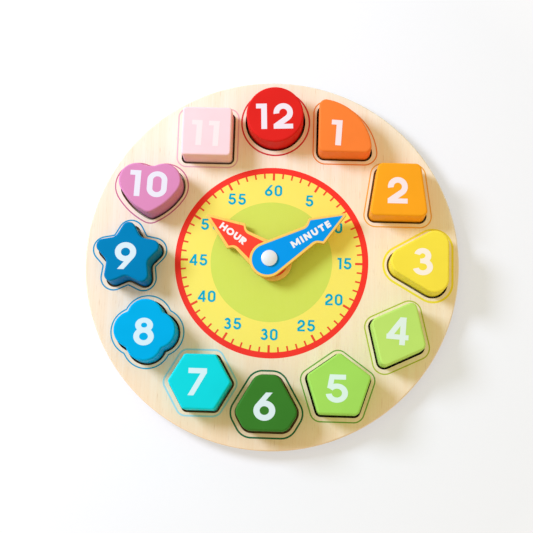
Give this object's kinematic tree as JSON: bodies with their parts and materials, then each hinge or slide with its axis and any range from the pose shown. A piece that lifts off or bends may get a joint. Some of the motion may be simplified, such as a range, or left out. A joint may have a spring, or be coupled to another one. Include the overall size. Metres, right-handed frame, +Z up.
{
  "type": "wooden teaching clock",
  "caption": "Round wooden teaching clock: painted number blocks lift out of shaped cut-outs around a printed minute dial, and plywood hands are set by hand on a capped pivot.",
  "frame": {"origin": "centre of the board's underside, the face that lies on the table", "axes": "+Z up out of the clock's face, +Y towards 12 o'clock, +X towards 3 o'clock"},
  "size_m": [0.22, 0.22, 0.025],
  "materials": {
    "plywood": "clear satin",
    "hand_plywood": "clear satin, printed field",
    "white_plastic": "gloss",
    "natural_plastic": "matte",
    "orange_paint": "satin paint",
    "amber_paint": "satin paint",
    "yellow_paint": "satin paint",
    "pale_lime_paint": "satin paint",
    "lime_paint": "satin paint",
    "green_paint": "satin paint",
    "turquoise_paint": "satin paint",
    "sky_blue_paint": "satin paint",
    "blue_paint": "satin paint",
    "mauve_paint": "satin paint",
    "pale_pink_paint": "satin paint",
    "red_paint": "satin paint"
  },
  "bodies": {
    "board": {"face_board": "plywood", "back_board": "plywood", "pivot_barrel": "white_plastic", "pivot_cap": "white_plastic", "hand_spacer": "natural_plastic", "hand_washer": "natural_plastic"},
    "hour_hand": {"hour_hand": "hand_plywood"},
    "minute_hand": {"minute_hand": "hand_plywood"},
    "block_01_quarter_round": {"block_01_quarter_round": "orange_paint"},
    "block_02_trapezium": {"block_02_trapezium": "amber_paint"},
    "block_03_triangle": {"block_03_triangle": "yellow_paint"},
    "block_04_rhombus": {"block_04_rhombus": "pale_lime_paint"},
    "block_05_pentagon": {"block_05_pentagon": "lime_paint"},
    "block_06_cut_triangle": {"block_06_cut_triangle": "green_paint"},
    "block_07_hexagon": {"block_07_hexagon": "turquoise_paint"},
    "block_08_quatrefoil": {"block_08_quatrefoil": "sky_blue_paint"},
    "block_09_star": {"block_09_star": "blue_paint"},
    "block_10_heart": {"block_10_heart": "mauve_paint"},
    "block_11_square": {"block_11_square": "pale_pink_paint"},
    "block_12_circle": {"block_12_circle": "red_paint"}
  },
  "joints": [
    {"name": "hour_turn", "type": "hinge", "parent": "board", "child": "hour_hand", "pos_m": [-0.001, 0.0003, 0.01275], "axis": [0, 0, 1], "continuous": true},
    {"name": "minute_turn", "type": "hinge", "parent": "board", "child": "minute_hand", "pos_m": [-0.001, 0.0003, 0.01725], "axis": [0, 0, 1], "continuous": true},
    {"name": "block_01_quarter_round_lift", "type": "slide", "parent": "board", "child": "block_01_quarter_round", "axis": [0, 0, 1], "range_m": [0, 0.04]},
    {"name": "block_02_trapezium_lift", "type": "slide", "parent": "board", "child": "block_02_trapezium", "axis": [0, 0, 1], "range_m": [0, 0.04]},
    {"name": "block_03_triangle_lift", "type": "slide", "parent": "board", "child": "block_03_triangle", "axis": [0, 0, 1], "range_m": [0, 0.04]},
    {"name": "block_04_rhombus_lift", "type": "slide", "parent": "board", "child": "block_04_rhombus", "axis": [0, 0, 1], "range_m": [0, 0.04]},
    {"name": "block_05_pentagon_lift", "type": "slide", "parent": "board", "child": "block_05_pentagon", "axis": [0, 0, 1], "range_m": [0, 0.04]},
    {"name": "block_06_cut_triangle_lift", "type": "slide", "parent": "board", "child": "block_06_cut_triangle", "axis": [0, 0, 1], "range_m": [0, 0.04]},
    {"name": "block_07_hexagon_lift", "type": "slide", "parent": "board", "child": "block_07_hexagon", "axis": [0, 0, 1], "range_m": [0, 0.04]},
    {"name": "block_08_quatrefoil_lift", "type": "slide", "parent": "board", "child": "block_08_quatrefoil", "axis": [0, 0, 1], "range_m": [0, 0.04]},
    {"name": "block_09_star_lift", "type": "slide", "parent": "board", "child": "block_09_star", "axis": [0, 0, 1], "range_m": [0, 0.04]},
    {"name": "block_10_heart_lift", "type": "slide", "parent": "board", "child": "block_10_heart", "axis": [0, 0, 1], "range_m": [0, 0.04]},
    {"name": "block_11_square_lift", "type": "slide", "parent": "board", "child": "block_11_square", "axis": [0, 0, 1], "range_m": [0, 0.04]},
    {"name": "block_12_circle_lift", "type": "slide", "parent": "board", "child": "block_12_circle", "axis": [0, 0, 1], "range_m": [0, 0.04]}
  ]
}
